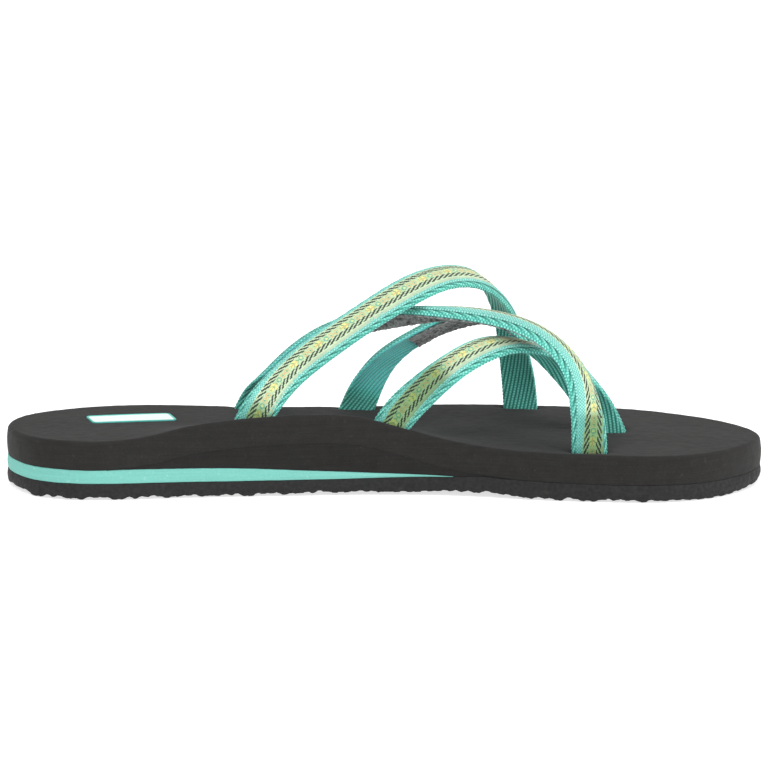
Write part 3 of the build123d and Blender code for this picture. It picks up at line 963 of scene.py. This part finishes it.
class Shader:
    """A material being built: its nodes, its Principled shader and a few ways to add to it."""

    def __init__(self, name, roughness, specular, sheen=0.0):
        self.material = bpy.data.materials.new(name)
        self.material.use_nodes = True
        self.tree = self.material.node_tree
        self.surface = self.tree.nodes["Principled BSDF"]
        self.feed(self.surface, {"Roughness": roughness, "Specular IOR Level": specular,
                                 "Sheen Weight": sheen, "Sheen Roughness": 0.5})
        self.place = self.add("ShaderNodeTexCoord").outputs["Object"]

    def feed(self, node, inputs):
        """Gives a node's inputs plain values, colours or other nodes' outputs."""
        for name, value in inputs.items():
            if isinstance(value, bpy.types.NodeSocket):
                self.tree.links.new(value, node.inputs[name])
            elif isinstance(value, np.ndarray):
                node.inputs[name].default_value = (*value, 1)
            else:
                node.inputs[name].default_value = value

    def add(self, kind, inputs=None, **settings):
        """A new node with its settings and inputs."""
        node = self.tree.nodes.new(kind)
        for name, value in settings.items():
            setattr(node, name, value)
        self.feed(node, inputs or {})
        return node

    def noise(self, size_mm, detail=4.0, stretch=None):
        """A noise texture with features of the given size."""
        place = self.place
        if stretch:
            place = self.add("ShaderNodeMapping", {"Vector": place, "Scale": stretch}).outputs["Vector"]
        inputs = {"Vector": place, "Scale": 1 / (size_mm * MM), "Detail": detail}
        return self.add("ShaderNodeTexNoise", inputs).outputs["Fac"]

    def spread(self, source, low, high, start=0.3, end=0.7):
        """Maps a texture's middle values to a range."""
        inputs = {"Value": source, "From Min": start, "From Max": end, "To Min": low, "To Max": high}
        return self.add("ShaderNodeMapRange", inputs).outputs["Result"]

    def mix(self, factor, first, second, way="MIX"):
        """Two colours mixed by a factor."""
        inputs = {"Factor": factor, "A": first, "B": second}
        return self.add("ShaderNodeMix", inputs, data_type="RGBA", blend_type=way).outputs["Result"]

    def multiply(self, colour, factor):
        """A colour made lighter or darker by a texture."""
        return self.mix(1.0, colour, factor, "MULTIPLY")

    def tint(self):
        """The colour that the mesh carries."""
        return self.add("ShaderNodeAttribute", attribute_name="tint").outputs["Color"]

    def colour(self, source):
        """Feeds the surface's colour."""
        self.feed(self.surface, {"Base Color": source})

    def roughness(self, source):
        """Feeds the surface's roughness."""
        self.feed(self.surface, {"Roughness": source})

    def bump(self, *layers):
        """Fine relief from textures, each with its depth in millimetres."""
        below = {}
        for texture, depth in layers:
            node = self.add("ShaderNodeBump", {"Distance": depth * MM, "Height": texture, **below})
            below = {"Normal": node.outputs["Normal"]}
        self.feed(self.surface, below)


def foam_material(name, colour, pale, dust, variation):
    """Matte moulded foam: closed pores, fine level cutting lines and a little pale dust."""
    shader = Shader(name, 0.9, specular=0.22, sheen=0.06)
    lines = shader.noise(0.45, 3.0, (0.03, 0.03, 1))
    tone = shader.spread(lines, 1 - variation, 1 + variation)
    grain = shader.spread(shader.noise(0.5, 3.0), 1 - variation, 1 + variation)
    base = shader.multiply(shader.multiply(colour, tone), grain)
    specks = shader.spread(shader.noise(1.4, 6.0), 0.0, dust, 0.62, 0.75)
    shader.colour(shader.mix(specks, base, pale))
    shader.roughness(shader.spread(shader.noise(4.0), 0.82, 0.96))
    shader.bump((shader.noise(0.35, 2.0), 0.05), (shader.noise(1.6, 3.0), 0.08))
    return shader.material


def rubber_material():
    """Dull outsole rubber with faint scuffs."""
    shader = Shader("outsole_rubber", 0.75, specular=0.35)
    tone = shader.spread(shader.noise(0.5, 3.0, (0.05, 0.05, 1)), 0.92, 1.08)
    base = shader.multiply(RUBBER, tone)
    scuffs = shader.spread(shader.noise(2.2, 8.0, (0.35, 1, 1)), 0.0, 0.12, 0.6, 0.78)
    shader.colour(shader.mix(scuffs, base, SCUFF_GREY))
    shader.roughness(shader.spread(shader.noise(1.2, 5.0), 0.6, 0.9))
    shader.bump((shader.noise(0.6, 4.0), 0.05))
    return shader.material


def thread_material(name, roughness, sheen, grain, depth):
    """Woven threads: the mesh carries the weave's colours, with painted light and shade on the webbing
    and ribbon, and fibres vary them.
    """
    shader = Shader(name, roughness, specular=0.4, sheen=sheen)
    fibres = shader.spread(shader.noise(grain, 3.0), 0.80, 1.18)
    patches = shader.spread(shader.noise(7.0), 0.93, 1.07)
    shader.colour(shader.multiply(shader.multiply(shader.tint(), fibres), patches))
    shader.roughness(shader.spread(shader.noise(0.8), roughness - 0.1, roughness + 0.12))
    shader.bump((shader.noise(grain, 2.0), depth))
    return shader.material


def stitch_material():
    """Twisted sewing thread."""
    shader = Shader("stitch_thread", 0.55, specular=0.4, sheen=0.2)
    twist = shader.spread(shader.noise(0.25, 2.0, (1, 3, 1)), 0.75, 1.15)
    shader.colour(shader.multiply(SATIN * 1.05, twist))
    shader.bump((shader.noise(0.2, 1.0), 0.03))
    return shader.material


def label_material():
    """Satin printed tape with a fine cross weave."""
    shader = Shader("label_tape", 0.45, specular=0.4)
    warp = shader.noise(0.3, 2.0, (0.25, 1, 1))
    weft = shader.noise(0.3, 2.0, (1, 0.25, 1))
    tone = shader.spread(warp, 0.93, 1.06)
    cross_tone = shader.spread(weft, 0.95, 1.05)
    shader.colour(shader.multiply(shader.multiply(shader.tint(), tone), cross_tone))
    shader.roughness(shader.spread(shader.noise(2.0), 0.38, 0.55))
    shader.bump((warp, 0.03), (weft, 0.03))
    return shader.material


def floor_material():
    """A lit white table, which leaves hardly a shadow."""
    shader = Shader("pale_floor", 0.9, specular=0.1)
    tone = shader.spread(shader.noise(300.0, 2.0), 0.985, 1.0)
    shader.colour(shader.multiply(FLOOR_GREY, tone))
    shader.feed(shader.surface, {"Emission Color": np.ones(3), "Emission Strength": FLOOR_GLOW})
    return shader.material


# ---- The object ----

def make_sole(cutter):
    """The footbed, arch insert, heel wedge and outsole."""
    sides = sole_sides()
    foam = foam_material("footbed_foam", FOAM, FOAM_DUST, 0.06, 0.12)
    dark_foam = foam_material("midsole_foam", FOAM * 0.8, MIDSOLE_DUST, 0.06, 0.12)
    mint = foam_material("wedge_foam", MINT_FOAM, WEDGE_DUST, 0.25, 0.05)
    bed = layer_points(sides, WHOLE_SOLE, footbed_top, footbed_bottom, *LAYERS["footbed"])
    make_layer("footbed", bed, cutter, foam, "footbed_foam")
    make_layer("arch_insert", insert_points(sides), cutter, dark_foam, "sole_foam")
    wedge_range = (WHOLE_SOLE[0], WEDGE_TIP_X)
    wedge = layer_points(sides, wedge_range, wedge_top, outsole_top, *LAYERS["heel_wedge"])
    make_layer("heel_wedge", wedge, cutter, mint, "wedge_foam")
    outsole = layer_points(sides, WHOLE_SOLE, outsole_top, outsole_bottom, *LAYERS["outsole"])
    make_layer("outsole", outsole, cutter, rubber_material(), "outsole_rubber")


def make_straps(paths):
    """Each strap's webbing, ribbon, stitches and lining."""
    webbing = thread_material("polyester_webbing", 0.62, 0.25, 0.28, 0.03)
    ribbon = thread_material("woven_ribbon", 0.55, 0.2, 0.22, 0.02)
    lining = thread_material("brushed_lining", 0.95, 0.5, 0.35, 0.08)
    thread = stitch_material()
    for name, path in paths.items():
        make_webbing(name + "_webbing", path, webbing)
        make_ribbon(name + "_ribbon", path, ribbon)
        make_stitching(name + "_stitching", path, thread)
        if "lining" in STRAPS[name]:
            make_lining(name + "_lining", path, STRAPS[name]["lining"], lining)


# ---- Stage, lights and camera ----

FLOOR_HALF = 6.0            # metres
FLOOR_DROP = 0.0002         # just below the ground, so that the tread never meets it
FLOOR_GREY = np.full(3, 0.60)
FLOOR_GLOW = 0.7
SKY_STRENGTH = 0.62
# Each light's direction, strength and angle in degrees.
LIGHTS = {
    "key_light": ((0.45, 0.8, -0.95), 0.9, 22),
    "side_light": ((-0.9, 0.45, -0.12), 1.6, 50),
    "top_light": ((-0.3, 0.1, -1.0), 0.9, 60),
}
CAMERA_ELEVATION = math.radians(10.2)
CAMERA_DISTANCE = 1.8
CAMERA_TARGET = (-0.00017, -0.02175, 0.03566)
LENS = 250.3

def make_stage():
    """A plain pale floor."""
    mesh = bpy.data.meshes.new("floor")
    corners = [(x * FLOOR_HALF, y * FLOOR_HALF, 0) for x, y in SQUARE]
    mesh.from_pydata(corners, [], [(0, 1, 2, 3)])
    floor = add_object("floor", mesh)
    floor.location.z = -FLOOR_DROP
    floor.data.materials.append(floor_material())


def add_light(name, direction, strength, softness):
    """A soft studio light, from far off, that shines along a direction."""
    light = bpy.data.lights.new(name, "SUN")
    light.energy = strength
    light.angle = math.radians(softness)
    lamp = add_object(name, light)
    lamp.rotation_euler = Vector(direction).to_track_quat("-Z", "Y").to_euler()


def make_lights():
    """A white sky and three broad lights."""
    world = bpy.data.worlds.new("studio")
    world.use_nodes = True
    sky = world.node_tree.nodes["Background"].inputs
    sky["Color"].default_value = (1, 1, 1, 1)
    sky["Strength"].default_value = SKY_STRENGTH
    bpy.context.scene.world = world
    for name, settings in LIGHTS.items():
        add_light(name, *settings)


def make_camera():
    """A long lens from the inner side, a little above the sandal."""
    camera = bpy.data.cameras.new("camera")
    camera.sensor_width = 36.0
    camera.lens = LENS
    camera.clip_end = 50
    holder = add_object("camera", camera)
    back = Vector((0, -math.cos(CAMERA_ELEVATION), math.sin(CAMERA_ELEVATION)))
    holder.location = Vector(CAMERA_TARGET) + back * CAMERA_DISTANCE
    holder.rotation_euler = (math.pi / 2 - CAMERA_ELEVATION, 0, 0)
    bpy.context.scene.camera = holder


def main():
    bpy.context.scene.view_settings.view_transform = "Standard"
    paths = {name: StrapPath(strap) for name, strap in STRAPS.items()}
    cutter = make_cutter(paths)
    make_sole(cutter)
    bpy.data.objects.remove(cutter)
    make_label(label_material())
    make_straps(paths)
    make_stage()
    make_lights()
    make_camera()


main()
